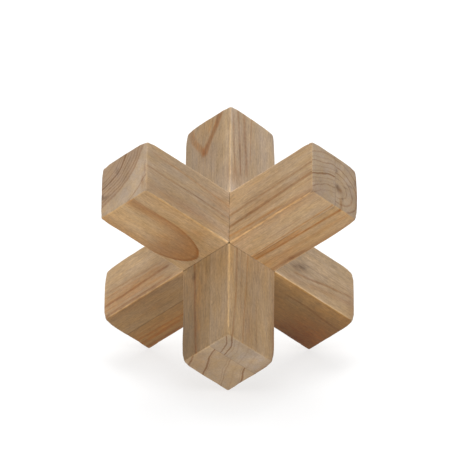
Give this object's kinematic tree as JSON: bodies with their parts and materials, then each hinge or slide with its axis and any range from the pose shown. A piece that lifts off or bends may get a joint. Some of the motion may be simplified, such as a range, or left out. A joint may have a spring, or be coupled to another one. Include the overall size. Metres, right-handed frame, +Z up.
{
  "type": "interlocking bar puzzle",
  "caption": "Square wooden bars that cross at right angles, lock through notched necks, and stand on the corners of the lower arms.",
  "frame": {"origin": "centre of the bounding box on the surface that the three lower arm corners stand on", "axes": "+Z up along the body diagonal of the crossing; the key bar's front arm points towards -Y and down, and X runs from the lift bar's front arm to the base bar's"},
  "size_m": [0.1354, 0.1564, 0.1304],
  "materials": {
    "lift_bar_wood": "sanded, unvarnished hardwood, matt",
    "base_board_wood": "sanded, unvarnished hardwood, matt",
    "base_block_wood": "sanded, unvarnished hardwood, matt",
    "key_stick_wood": "sanded, unvarnished hardwood, matt",
    "key_block_wood": "sanded, unvarnished hardwood, matt"
  },
  "bodies": {
    "base_bar": {"base_bar_long_board": "base_board_wood", "base_bar_front_block": "base_block_wood", "base_bar_rear_block": "base_block_wood"},
    "lift_bar": {"lift_bar": "lift_bar_wood"},
    "key_bar": {"key_bar_stick": "key_stick_wood", "key_bar_front_block": "key_block_wood"}
  },
  "joints": [
    {"name": "lift", "type": "slide", "parent": "base_bar", "child": "lift_bar", "axis": [0, 0.8165, 0.5773], "range_m": [0, 0.00885]},
    {"name": "key_slide", "type": "slide", "parent": "lift_bar", "child": "key_bar", "axis": [0, 0.8165, 0.5773], "range_m": [0, 0.0087]}
  ]
}
